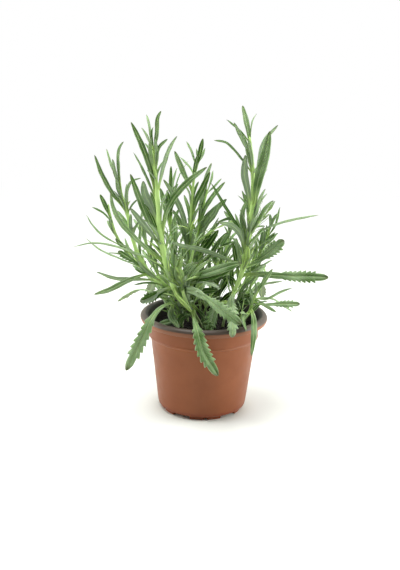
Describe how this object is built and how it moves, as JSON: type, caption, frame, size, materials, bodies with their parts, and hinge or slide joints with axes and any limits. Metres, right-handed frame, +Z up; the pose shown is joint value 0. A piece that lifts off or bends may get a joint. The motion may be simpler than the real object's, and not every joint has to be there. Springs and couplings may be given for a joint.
{
  "type": "potted lavender",
  "caption": "Young lavender with narrow plain leaves above and toothed drooping leaves below, in a round two-tone plastic nursery pot filled with dark soil.",
  "frame": {"origin": "on the pot's axis, at the level surface that its feet and middle pad stand on", "axes": "+Z up along the pot's axis, -Y towards the viewer of the picture, +X to their right"},
  "size_m": [0.2489, 0.1921, 0.3086],
  "materials": {
    "pot": "satin",
    "soil": "matte",
    "foliage": "matte"
  },
  "bodies": {
    "root": {"pot": "pot", "soil": "soil", "stem_front_left": "foliage", "stem_left": "foliage", "stem_far_left": "foliage", "stem_right": "foliage", "stem_centre": "foliage", "stem_centre_right": "foliage", "shoot_right_rim": "foliage", "stem_right_upper": "foliage", "stem_front_centre": "foliage", "shoot_front_low": "foliage", "stem_behind_left": "foliage", "stem_behind_right": "foliage", "stem_back_left": "foliage", "stem_back_right": "foliage", "stem_back_centre": "foliage"}
  },
  "joints": []
}
